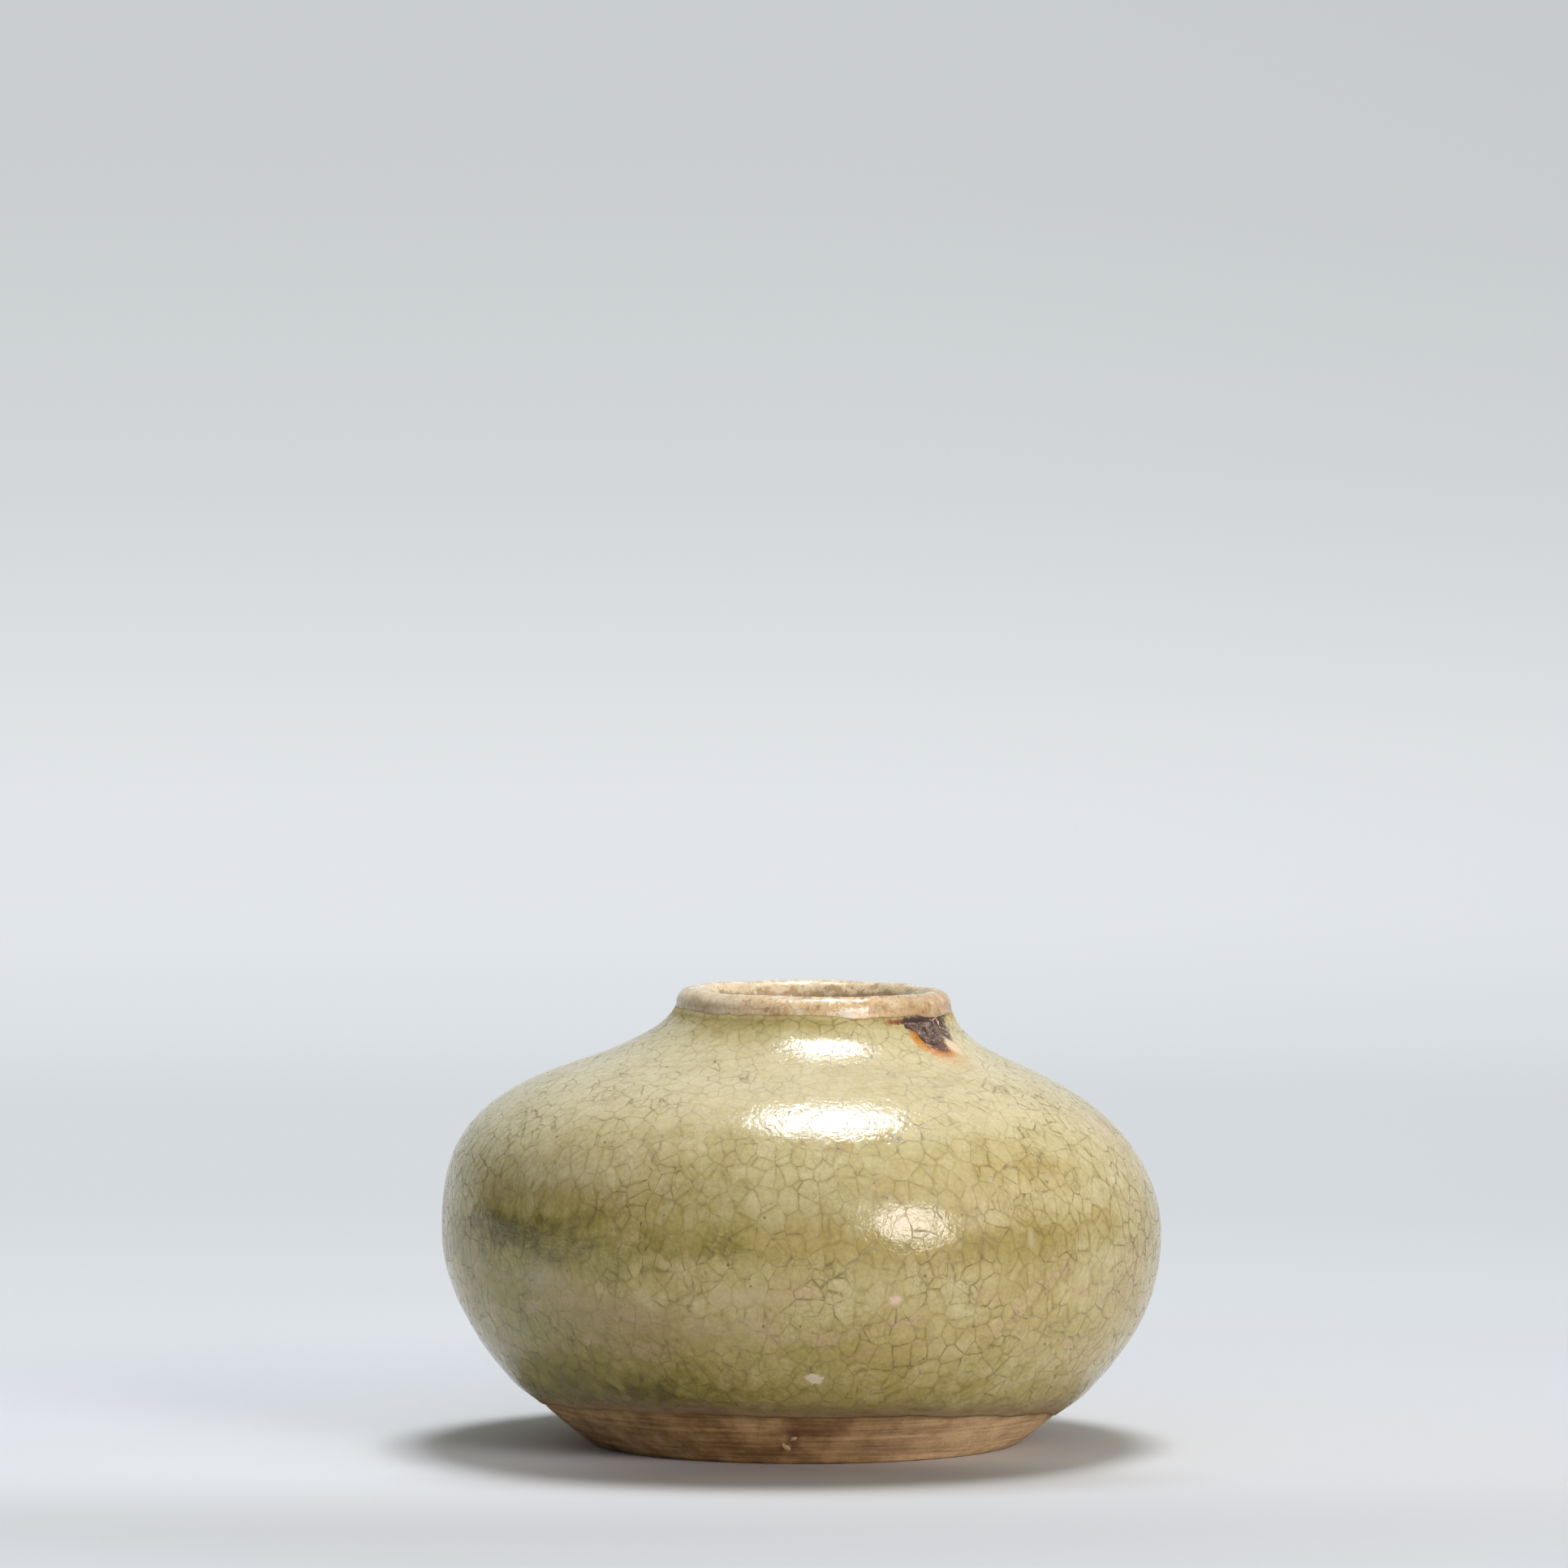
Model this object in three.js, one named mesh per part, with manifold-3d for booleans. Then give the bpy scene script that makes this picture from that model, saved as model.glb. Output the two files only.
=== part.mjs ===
// A small celadon jar: a squat jar thrown on the wheel in one piece of stoneware, with a rolled lip
// and a bare, turned foot. Celadon glaze coats it outside and inside, and a thinner, browner film of
// it covers the lip. A bead of iron slag sits in the glaze below the lip, and two crumbs of kiln
// grit are stuck to the foot.
//
// Millimetres and degrees. +Z is up, the jar stands on z = 0, and the belly is centred on the axis.
// Angles round the jar count from +X towards +Y, so the front of the jar, at -Y, is at 270.

import * as THREE from 'three';
import { ParametricGeometry } from 'three/addons/geometries/ParametricGeometry.js';
import { mergeVertices } from 'three/addons/utils/BufferGeometryUtils.js';
import Module from 'manifold-3d';

// The outside of the clay. Depths are below the top of the clay.
const jarHeight = 50.1;
const footRadius = 23.7;
const footBevelWidth = 0.9;
const footBevelHeight = 0.55;
const footRingWidth = 5.5;
const footRecess = 1.6;
const bellyRadius = 39.42;
const bellyHeight = 23.4;
const shoulderRadius = 24.4;
const shoulderHeight = 41.5;
const shoulderSlope = 20.5;
const neckRadius = 15.25;
const neckDepth = 2.5;
const neckLean = 14;
const lipRadius = 14.9;
const lipSideDepth = 1.2;
const heelSlope = 37;

// The inside of the clay
const mouthRadius = 11.95;
const mouthDepth = 1.7;
const throatRadius = 12.4;
const throatDepth = 4.7;
const wallThickness = 3.2;
const floorThickness = 4.4;

// The hand of the thrower: how far the rings of the jar lie off its axis, and its throwing rings
const footOffset = 0.4;
const footOffsetHeight = 12.5;
const shoulderOffset = -1.35;
const shoulderOffsetDepth = 2.5;
const mouthOffset = 1.35;
const mouthDrop = 0.15;
const firstRingHeight = 9.2;
const ringPitch = 16.3;
const ringDepth = 0.22;

// The glaze coats. The line above the foot where the glaze stops is given by its usual height, and
// the line under the lip by its usual rise above the neck. Each wanders by the shares of it that
// follow, at every 30 degrees round from the front.
const glazeThickness = 0.5;
const glazeEdgeThickness = 0.2;
const glazeEdgeWidth = 1.6;
const glazeLineHeight = 4;
const glazeLineWander = [
  1.4, 1.35, 1.175, 0.725, 0.625, 0.725, 0.825, 0.85, 0.95, 1.075, 1.2, 1.375,
];
const lipLineRise = 0.5;
const lipLineWander = [1, 0.7, 0.7, 0.5, 0.6, 1, 0.8, 1.1, 1, 1.2, 1.2, 1];
const throatLineRise = 1.2;
const lipFilmThickness = 0.22;
const insideGlazeThickness = 0.4;
const coatGap = 0.08;
const edgeGap = 0.3;

// The bead of iron slag below the lip: the angle it lies at, its share of the way up the hollow of
// the neck, its size, and its outline seen square on in shares of that size, wide at the top with
// a lobe that hangs below
const slagAngle = 270 + 51;
const slagPlace = 0.77;
const slagSize = 5;
const slagOutline = [
  [-0.5, 0.2], [-0.22, 0.26], [0.22, 0.24], [0.44, 0.1], [0.45, -0.15], [0.36, -0.34],
  [0.1, -0.41], [-0.15, -0.36], [-0.24, -0.15], [-0.27, 0.03],
];
const slagProud = 0.25;

// The crumbs of kiln grit on the foot
const lowerGritHeight = 2.3;
const lowerGritLength = 1.3;
const lowerGritWidth = 0.6;
const upperGritHeight = 3.4;
const upperGritLength = 0.9;
const upperGritWidth = 0.5;
const gritCrumbs = [
  { angle: 270 - 4.4, height: lowerGritHeight, length: lowerGritLength, width: lowerGritWidth, tilt: -48 },
  { angle: 270 - 2.8, height: upperGritHeight, length: upperGritLength, width: upperGritWidth, tilt: 25 },
];

// How finely the surfaces are divided
const segments = 48;

const { degToRad, lerp, smoothstep } = THREE.MathUtils;

// A smooth run of the profile between two points, in the directions given: 0 leads outwards and 90
// up. The two handles are shares of the distance between the points.
function run(from, fromAngle, fromHandle, to, toAngle, toHandle) {
  const span = from.distanceTo(to);
  const handle = (point, angle, length) => new THREE.Vector2(
    point.x + span * length * Math.cos(degToRad(angle)),
    point.y + span * length * Math.sin(degToRad(angle)),
  );
  return new THREE.CubicBezierCurve(
    from, handle(from, fromAngle, fromHandle), handle(to, toAngle, -toHandle), to,
  );
}

const point = (radius, height) => new THREE.Vector2(radius, height);

const neckHeight = jarHeight - neckDepth;
const mouthHeight = jarHeight - mouthDepth;

// The skin of the clay, from the foot's bevel up the outside, over the lip and down the inside to
// the middle of the floor
const heel = point(footRadius + footBevelWidth, footBevelHeight);
const belly = point(bellyRadius, bellyHeight);
const shoulder = point(shoulderRadius, shoulderHeight);
const neck = point(neckRadius, neckHeight);
const lipSide = point(lipRadius, jarHeight - lipSideDepth);
const crest = point((lipRadius + mouthRadius) / 2, jarHeight);
const mouth = point(mouthRadius, mouthHeight);
const throat = point(throatRadius, jarHeight - throatDepth);
const insideShoulder = point(
  shoulderRadius - wallThickness * Math.sin(degToRad(shoulderSlope)),
  shoulderHeight - wallThickness * Math.cos(degToRad(shoulderSlope)),
);
const insideBelly = point(bellyRadius - wallThickness, bellyHeight);
const floorMiddle = point(0, footRecess + floorThickness);
const shoulderOffsetHeight = shoulderHeight - shoulderOffsetDepth;

const skinRuns = {
  lowerWall: run(heel, heelSlope, 0.42, belly, 90, 0.31),
  upperWall: run(belly, 90, 0.49, shoulder, 180 - shoulderSlope, 0.3),
  neckHollow: run(shoulder, 180 - shoulderSlope, 0.32, neck, 90 + neckLean, 0.24),
  lipSide: run(neck, 90 + neckLean, 0.3, lipSide, 95, 0.3),
  lipOutside: run(lipSide, 95, 0.36, crest, 180, 0.38),
  lipInside: run(crest, 180, 0.38, mouth, 270, 0.36),
  throat: run(mouth, 270, 0.3, throat, 272, 0.3),
  insideHollow: run(throat, 272, 0.25, insideShoulder, -shoulderSlope, 0.35),
  insideUpperWall: run(insideShoulder, -shoulderSlope, 0.28, insideBelly, -90, 0.49),
  insideLowerWall: run(insideBelly, -90, 0.4, floorMiddle, 180, 0.5),
};

// Each run counts as one unit along the skin, so a place on the skin is a run's number and a share
// of it: 1.5 is the middle of the upper wall.
const skin = Object.values(skinRuns);
const runStart = Object.fromEntries(Object.keys(skinRuns).map((name, i) => [name, i]));

// A place on the skin and the direction out of the clay there
function skinAt(place) {
  const number = Math.min(Math.floor(place), skin.length - 1);
  const share = place - number;
  const at = skin[number].getPoint(share);
  const along = skin[number].getTangent(share);
  return { at, outwards: point(along.y, -along.x) };
}

// The place on a run that lies at a height
function placeAtHeight(name, height) {
  let low = 0;
  let high = 1;
  const rises = skinRuns[name].getPoint(1).y > skinRuns[name].getPoint(0).y;
  for (let i = 0; i < 30; i++) {
    const middle = (low + high) / 2;
    if ((skinRuns[name].getPoint(middle).y < height) === rises) low = middle;
    else high = middle;
  }
  return runStart[name] + low;
}

// How far the ring of the jar at a height lies off the axis, along X
function ringOffset(height) {
  if (height < bellyHeight) {
    return footOffset * (1 - smoothstep(height, footOffsetHeight, bellyHeight));
  }
  if (height < shoulderOffsetHeight) {
    return shoulderOffset * smoothstep(height, bellyHeight, shoulderOffsetHeight);
  }
  return lerp(shoulderOffset, mouthOffset, smoothstep(height, shoulderOffsetHeight, mouthHeight));
}

// The depth of the throwing rings, which the glaze fills: the outside wall is deepest at each ring
function ringGroove(place) {
  if (place >= runStart.neckHollow) return 0;
  const { at } = skinAt(place);
  const wave = 0.5 + 0.5 * Math.cos(2 * Math.PI * (at.y - firstRingHeight) / ringPitch);
  const ends = smoothstep(at.y, heel.y, glazeLineHeight + glazeEdgeWidth)
    * (1 - smoothstep(at.y, shoulderOffsetHeight, shoulderHeight));
  return ringDepth * wave * ends;
}

// Puts a point of the section at its angle round the jar, with the rings off centre and the mouth
// a little lower on one side, both by the height of the skin under it
function placed(section, angle, skinHeight) {
  const drop = mouthDrop * Math.cos(angle) * smoothstep(skinHeight, shoulderHeight, jarHeight);
  return new THREE.Vector3(
    ringOffset(skinHeight) + section.x * Math.cos(angle),
    section.x * Math.sin(angle),
    section.y - drop,
  );
}

// A point over the skin, lifted off the clay by a distance
function overSkin(place, lift, angle) {
  const { at, outwards } = skinAt(place);
  return placed(at.clone().addScaledVector(outwards, lift), angle, at.y);
}

// Turns a section, which may change with the angle, into a solid round the axis
function revolved(sectionAt) {
  const sections = Array.from(
    { length: segments },
    (_, i) => sectionAt(2 * Math.PI * i / segments),
  );
  const rows = sections[0].length - 1;
  return new ParametricGeometry(
    (u, v, target) => target.copy(sections[Math.round(u * segments) % segments][Math.round(v * rows)]),
    segments,
    rows,
  );
}

// The stations between two places on the skin
const stations = (from, to, count) => Array.from(
  { length: count + 1 },
  (_, i) => lerp(from, to, i / count),
);

// The clay: foot ring and recessed base, outside, lip and inside
const clayStations = [
  ...stations(runStart.lowerWall, runStart.upperWall, 8).slice(0, -1),
  ...stations(runStart.upperWall, runStart.neckHollow, 8).slice(0, -1),
  ...stations(runStart.neckHollow, runStart.lipSide, 5).slice(0, -1),
  ...stations(runStart.lipSide, runStart.lipOutside, 2).slice(0, -1),
  ...stations(runStart.lipOutside, runStart.throat, 6).slice(0, -1),
  ...stations(runStart.throat, runStart.insideHollow, 2).slice(0, -1),
  ...stations(runStart.insideHollow, runStart.insideUpperWall, 4).slice(0, -1),
  ...stations(runStart.insideUpperWall, runStart.insideLowerWall, 5).slice(0, -1),
  ...stations(runStart.insideLowerWall, skin.length, 7),
];

function claySection(angle) {
  const ringInside = footRadius - footRingWidth;
  const base = [
    point(0, footRecess),
    point(ringInside * 0.55, footRecess),
    point(ringInside * 0.85, footRecess * 0.8),
    point(ringInside, 0),
    point(footRadius, 0),
  ].map((p) => placed(p, angle, 0));
  return [...base, ...clayStations.map((place) => overSkin(place, -ringGroove(place), angle))];
}

// A coat of glaze over the skin between two places. Its free edges thin out over glazeEdgeWidth.
function coatSection(places, thicknessAt, angle) {
  const outer = places.map((place) => overSkin(place, thicknessAt(place) + coatGap, angle));
  const inner = places.map((place) => overSkin(place, coatGap - ringGroove(place), angle)).reverse();
  return [...outer, ...inner, outer[0]];
}

// The wandering lines where the glaze stops, above the foot and under the lip. Each runs smoothly
// through its usual height times each share.
function lineThrough(usualHeight, shares) {
  const points = shares.map((share) => new THREE.Vector3(0, 0, usualHeight * share));
  const line = new THREE.CatmullRomCurve3(points, true, 'catmullrom');
  return (angle) => line.getPoint(angle / (2 * Math.PI) + 0.25).z;
}

const glazeLineHeightAt = lineThrough(glazeLineHeight, glazeLineWander);
const lipLineRiseAt = lineThrough(lipLineRise, lipLineWander);
const glazeLineAt = (angle) => placeAtHeight('lowerWall', glazeLineHeightAt(angle));
const lipLineAt = (angle) => placeAtHeight('lipSide', neckHeight + lipLineRiseAt(angle));
const throatLine = placeAtHeight('throat', throat.y + throatLineRise);

const outsideCoat = revolved((angle) => {
  const bottom = glazeLineAt(angle);
  const top = lipLineAt(angle);
  const bottomHeight = skinAt(bottom).at.y;
  const topHeight = skinAt(top).at.y;
  const places = [
    ...stations(bottom, clayStations[2], 2),
    ...clayStations.filter((place) => place > clayStations[2] && place <= runStart.lipSide),
    top,
  ];
  return coatSection(places, (place) => {
    const height = skinAt(place).at.y;
    const full = smoothstep(height, bottomHeight, bottomHeight + glazeEdgeWidth)
      * (1 - smoothstep(height, topHeight - glazeEdgeWidth, topHeight));
    return lerp(glazeEdgeThickness, glazeThickness, full);
  }, angle);
});

const lipFilm = revolved((angle) => {
  const edgeShare = edgeGap / skinRuns.lipSide.getLength();
  const places = [
    lipLineAt(angle) + edgeShare,
    ...clayStations.filter((place) => place >= runStart.lipOutside && place <= runStart.throat),
    throatLine - edgeGap / skinRuns.throat.getLength(),
  ];
  return coatSection(places, () => lipFilmThickness, angle);
});

const insideCoat = revolved((angle) => {
  const places = [throatLine, ...clayStations.filter((place) => place >= runStart.insideHollow)];
  return coatSection(places, (place) => (
    lerp(lipFilmThickness, insideGlazeThickness, smoothstep(place, throatLine, throatLine + 0.5))
  ), angle);
});

const manifold = await Module();
manifold.setup();

// The solid of a geometry, for joining and cutting
function solidOf(geometry) {
  const bare = new THREE.BufferGeometry()
    .setAttribute('position', geometry.getAttribute('position'))
    .setIndex(geometry.getIndex());
  const merged = mergeVertices(bare, 1e-4);
  return new manifold.Manifold(new manifold.Mesh({
    numProp: 3,
    vertProperties: merged.getAttribute('position').array,
    triVerts: new Uint32Array(merged.getIndex().array),
  }));
}

function geometryOf(solid) {
  const { vertProperties, triVerts } = solid.getMesh();
  return new THREE.BufferGeometry()
    .setAttribute('position', new THREE.BufferAttribute(vertProperties, 3))
    .setIndex(new THREE.BufferAttribute(triVerts, 1));
}

// Where a place on the skin lies, with X round the jar, Y up the skin and Z out of the clay
function frameOnSkin(place, angle) {
  const at = overSkin(place, 0, angle);
  const { outwards } = skinAt(place);
  const out = new THREE.Vector3(
    outwards.x * Math.cos(angle), outwards.x * Math.sin(angle), outwards.y,
  );
  const round = new THREE.Vector3(-Math.sin(angle), Math.cos(angle), 0);
  const up = new THREE.Vector3().crossVectors(out, round);
  return new THREE.Matrix4().makeBasis(round, up, out).setPosition(at);
}

// The bead of slag: as deep as the glaze, which it stands a little proud of
function beadOutline(grow) {
  const corners = slagOutline.map(([x, y]) => new THREE.Vector3(slagSize * x, slagSize * y, 0));
  const line = new THREE.CatmullRomCurve3(corners, true);
  const count = 3 * corners.length;
  return new THREE.Shape(Array.from({ length: count }, (_, i) => {
    const at = line.getPoint(i / count);
    const along = line.getTangent(i / count);
    return point(at.x + grow * -along.y, at.y + grow * along.x);
  }));
}

function beadCutter(grow) {
  const depth = 12;
  const block = new THREE.ExtrudeGeometry(beadOutline(grow), { depth, bevelEnabled: false });
  block.translate(0, 0, -depth / 2);
  block.applyMatrix4(frameOnSkin(runStart.neckHollow + slagPlace, degToRad(slagAngle)));
  return solidOf(block);
}

const slagLayer = revolved((angle) => coatSection(
  clayStations.filter((place) => place > runStart.neckHollow - 0.3 && place <= runStart.lipSide),
  () => glazeThickness + slagProud,
  angle,
));
const slagBead = solidOf(slagLayer).intersect(beadCutter(0));
const outsideGlaze = solidOf(outsideCoat).subtract(beadCutter(edgeGap));

// The pieces, each a mesh of its own
const clay = { color: 0xb39a78, roughness: 0.85, metalness: 0 };
const celadon = { color: 0xa9a46c, roughness: 0.2, metalness: 0 };
const thinGlaze = { color: 0xb29c7c, roughness: 0.4, metalness: 0 };
const slag = { color: 0x4b413d, roughness: 0.6, metalness: 0.2 };
const grit = { color: 0xd8c4a0, roughness: 0.9, metalness: 0 };

function piece(name, geometry, finish) {
  const mesh = new THREE.Mesh(geometry, new THREE.MeshStandardMaterial(finish));
  mesh.name = name;
  return mesh;
}

const jar = new THREE.Group();
jar.add(piece('clay_body', revolved(claySection), clay));
jar.add(piece('outside_glaze', geometryOf(outsideGlaze), celadon));
jar.add(piece('lip_glaze', lipFilm, thinGlaze));
jar.add(piece('inside_glaze', insideCoat, celadon));
jar.add(piece('iron_slag_bead', geometryOf(slagBead), slag));

gritCrumbs.forEach(({ angle, height, length, width, tilt }, i) => {
  const crumb = new THREE.IcosahedronGeometry(0.5, 1)
    .scale(length, width, width)
    .rotateZ(degToRad(tilt))
    .translate(0, 0, width / 2 + coatGap)
    .applyMatrix4(frameOnSkin(placeAtHeight('lowerWall', height), degToRad(angle)));
  jar.add(piece(`kiln_grit_${i + 1}`, crumb, grit));
});

export default jar;
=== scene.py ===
from math import atan2, cos, pi, radians, sin

import bmesh
import bpy
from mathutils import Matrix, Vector, noise
from mathutils.geometry import interpolate_bezier


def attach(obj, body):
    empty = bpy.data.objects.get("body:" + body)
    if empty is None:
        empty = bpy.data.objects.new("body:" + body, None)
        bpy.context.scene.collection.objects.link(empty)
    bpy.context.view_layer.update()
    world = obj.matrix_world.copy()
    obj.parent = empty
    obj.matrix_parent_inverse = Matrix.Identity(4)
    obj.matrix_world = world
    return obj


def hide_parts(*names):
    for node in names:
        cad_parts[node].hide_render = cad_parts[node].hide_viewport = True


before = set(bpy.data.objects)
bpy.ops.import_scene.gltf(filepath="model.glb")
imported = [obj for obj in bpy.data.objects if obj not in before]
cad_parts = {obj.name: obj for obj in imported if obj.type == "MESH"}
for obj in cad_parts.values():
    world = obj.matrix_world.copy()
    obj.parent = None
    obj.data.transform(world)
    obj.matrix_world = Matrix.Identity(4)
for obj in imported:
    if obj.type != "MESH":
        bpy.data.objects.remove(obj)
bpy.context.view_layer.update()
print("frame loaded:", len(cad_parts), "nodes")

mm = 0.001
scene = bpy.context.scene


# the skin of the clay, in millimetres, as the jar was thrown

jar = {
    "height": 50.1,
    "footRadius": 23.7,
    "footBevelWidth": 0.9,
    "footBevelHeight": 0.55,
    "footRingWidth": 5.5,
    "footRecess": 1.6,
    "bellyRadius": 39.42,
    "bellyHeight": 23.4,
    "shoulderRadius": 24.4,
    "shoulderHeight": 41.5,
    "shoulderSlope": 20.5,
    "neckRadius": 15.25,
    "neckHeight": 47.6,
    "neckLean": 14,
    "lipRadius": 14.9,
    "lipSideHeight": 48.9,
    "mouthRadius": 11.95,
    "mouthHeight": 48.4,
    "throatRadius": 12.4,
    "throatHeight": 45.4,
    "heelSlope": 37,
    "wall": 3.2,
    "floor": 4.4,
    # how far the rings lie off the axis, along X
    "footOffset": 0.4,
    "footOffsetHeight": 12.5,
    "shoulderOffset": -1.35,
    "shoulderOffsetHeight": 39,
    "mouthOffset": 1.35,
    "mouthDrop": 0.15,
    "stepsRound": 256,
    "stepsPerRun": 64,
}


def smooth(x, low, high):
    t = min(max((x - low) / (high - low), 0), 1)
    return t * t * (3 - 2 * t)


def mix(a, b, t):
    return a + (b - a) * t


def towards(angle):
    return Vector((cos(radians(angle)), 0, sin(radians(angle))))


def curveRun(start, startAngle, startHandle, end, endAngle, endHandle):
    # a run heads off and arrives at angles in degrees, with handles as shares of its span
    span = (end - start).length
    handleOut = start + towards(startAngle) * span * startHandle
    handleIn = end - towards(endAngle) * span * endHandle
    return interpolate_bezier(start, handleOut, handleIn, end, jar["stepsPerRun"] + 1)


def rz(radius, height):
    return Vector((radius, 0, height))


slope = jar["shoulderSlope"]
heel = rz(jar["footRadius"] + jar["footBevelWidth"], jar["footBevelHeight"])
belly = rz(jar["bellyRadius"], jar["bellyHeight"])
shoulder = rz(jar["shoulderRadius"], jar["shoulderHeight"])
neck = rz(jar["neckRadius"], jar["neckHeight"])
lipSide = rz(jar["lipRadius"], jar["lipSideHeight"])
crest = rz((jar["lipRadius"] + jar["mouthRadius"]) / 2, jar["height"])
mouth = rz(jar["mouthRadius"], jar["mouthHeight"])
throat = rz(jar["throatRadius"], jar["throatHeight"])
insideShoulder = shoulder - jar["wall"] * Vector((sin(radians(slope)), 0, cos(radians(slope))))
insideBelly = belly - rz(jar["wall"], 0)
floorMiddle = rz(0, jar["footRecess"] + jar["floor"])

# the runs of the skin, from the heel up the outside, over the lip and down the inside
skin = [
    curveRun(heel, jar["heelSlope"], 0.42, belly, 90, 0.31),
    curveRun(belly, 90, 0.49, shoulder, 180 - slope, 0.3),
    curveRun(shoulder, 180 - slope, 0.32, neck, 90 + jar["neckLean"], 0.24),
    curveRun(neck, 90 + jar["neckLean"], 0.3, lipSide, 95, 0.3),
    curveRun(lipSide, 95, 0.36, crest, 180, 0.38),
    curveRun(crest, 180, 0.38, mouth, 270, 0.36),
    curveRun(mouth, 270, 0.3, throat, 272, 0.3),
    curveRun(throat, 272, 0.25, insideShoulder, -slope, 0.35),
    curveRun(insideShoulder, -slope, 0.28, insideBelly, -90, 0.49),
    curveRun(insideBelly, -90, 0.4, floorMiddle, 180, 0.5),
]
lowerWall, upperWall, neckHollow, lipUnder, lipOuter, throatRun = 0, 1, 2, 3, 4, 6


def skinAt(place):
    # the point of the skin at a place, counted in runs, and the way out of the clay there
    number = min(int(place), len(skin) - 1)
    share = min(max(place - number, 0), 1) * jar["stepsPerRun"]
    step = min(int(share), jar["stepsPerRun"] - 1)
    low, high = skin[number][step:step + 2]
    along = (high - low).normalized()
    return low.lerp(high, share - step), Vector((along.z, 0, -along.x))


def heightAt(place):
    return skinAt(place)[0].z


def placeAtHeight(number, height):
    low, high = 0.0, 1.0
    rises = skin[number][-1].z > skin[number][0].z
    for _ in range(24):
        middle = (low + high) / 2
        if (heightAt(number + middle) < height) == rises:
            low = middle
        else:
            high = middle
    return number + low


def ringOffset(height):
    if height < jar["bellyHeight"]:
        return jar["footOffset"] * (1 - smooth(height, jar["footOffsetHeight"], jar["bellyHeight"]))
    if height < jar["shoulderOffsetHeight"]:
        return jar["shoulderOffset"] * smooth(height, jar["bellyHeight"], jar["shoulderOffsetHeight"])
    return mix(jar["shoulderOffset"], jar["mouthOffset"],
               smooth(height, jar["shoulderOffsetHeight"], jar["mouthHeight"]))


def settled(radius, height, angle, skinHeight):
    # a point of the section at its angle, with the rings off centre and the mouth a little tilted
    drop = jar["mouthDrop"] * cos(angle) * smooth(skinHeight, jar["shoulderHeight"], jar["height"])
    return Vector((
        ringOffset(skinHeight) + radius * cos(angle),
        radius * sin(angle),
        height - drop,
    )) * mm


def overSkin(place, lift, angle):
    point, out = skinAt(place)
    lifted = point + out * lift
    return settled(max(lifted.x, 0), lifted.z, angle, point.z)


def runLength(number):
    return sum((b - a).length for a, b in zip(skin[number], skin[number][1:]))


def rowsBetween(start, end, spacing):
    # places along the skin, about evenly spaced in millimetres, with one at the end of each run
    rows, place = [start], start
    while True:
        number = min(int(place + 1e-6), len(skin) - 1)
        step = spacing / runLength(number)
        place = min(place + step, number + 1.0)
        if number + 1.0 - place < step * 0.5:
            place = number + 1.0
        if place >= end - step * 0.3:
            return rows + [end]
        rows.append(place)


def finishPiece(name, bm):
    bmesh.ops.recalc_face_normals(bm, faces=bm.faces)
    mesh = bpy.data.meshes.new(name)
    bm.to_mesh(mesh)
    bm.free()
    for face in mesh.polygons:
        face.use_smooth = True
    piece = bpy.data.objects.new(name, mesh)
    scene.collection.objects.link(piece)
    return piece


def spunSkin(name, rows, settle, measures, closed=True):
    # spins a section round the axis, then settles each point by its own row and angle;
    # measures are kept on the points for the materials
    bm = bmesh.new()
    rowLayer = bm.verts.layers.int.new("row")
    layers = {key: bm.verts.layers.float.new(key) for key in measures}
    section = []
    for number, (place, lift) in enumerate(rows):
        if place is None:
            point = rz(*lift)  # a point of the base, given as radius and height
        else:
            point, out = skinAt(place)
            point = point + out * lift
        vert = bm.verts.new((max(point.x, 0.0) * mm, 0, point.z * mm))
        vert[rowLayer] = number
        section.append(vert)
    pairs = list(zip(section, section[1:] + section[:1] if closed else section[1:]))
    edges = [bm.edges.new(pair) for pair in pairs if pair[0].co.x + pair[1].co.x > 1e-9]
    bmesh.ops.spin(bm, geom=section + edges, cent=(0, 0, 0), axis=(0, 0, 1),
                   angle=2 * pi, steps=jar["stepsRound"], use_merge=True, use_duplicate=False)
    bmesh.ops.remove_doubles(bm, verts=bm.verts, dist=1e-7)
    for vert in bm.verts:
        angle = atan2(vert.co.y, vert.co.x)
        vert.co = settle(vert[rowLayer], angle)
        for key, layer in layers.items():
            vert[layer] = measures[key](vert[rowLayer], angle)
    bm.verts.layers.int.remove(rowLayer)
    return finishPiece(name, bm)


def roughAt(angle, reach, z):
    # closed noise round the jar, finer with a longer reach
    return noise.noise(Vector((cos(angle) * reach, sin(angle) * reach, z)))


def wave(angle, seed, reach):
    # an even wander round the jar, from about -1 to 1
    return roughAt(angle, reach, seed) * 1.6


coats = {
    "gap": 0.08,
    "rowSpacing": 0.42,
    "lipRowSpacing": 0.22,
    "insideRowSpacing": 0.8,
    "thickness": 0.5,
    "edgeThickness": 0.2,
    "footEdgeThickness": 0.05,
    "edgeWidth": 2.6,
    # where the glaze stops above the foot and under the lip, every 30 degrees round from the front
    "line": [5.95, 5.6, 4.5, 2.9, 2.5, 2.9, 3.3, 3.4, 3.8, 4.5, 5.4, 5.95],
    "lipLine": [48.35, 48.1, 47.8, 47.75, 47.9, 48.1, 48.0, 48.15, 48.1, 48.25, 48.15, 48.15],
    "lipDip": {"angle": 16, "width": 14, "depth": 0.3},
    # the shares of a run over which the rows bend to follow those lines
    "footReach": 0.25,
    "lipReach": 0.7,
    "throatLine": 46.6,
    "lipFilm": 0.22,
    "insideThickness": 0.4,
    "uneven": 0.035,
    "intoRings": 0.9,
}


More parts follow.
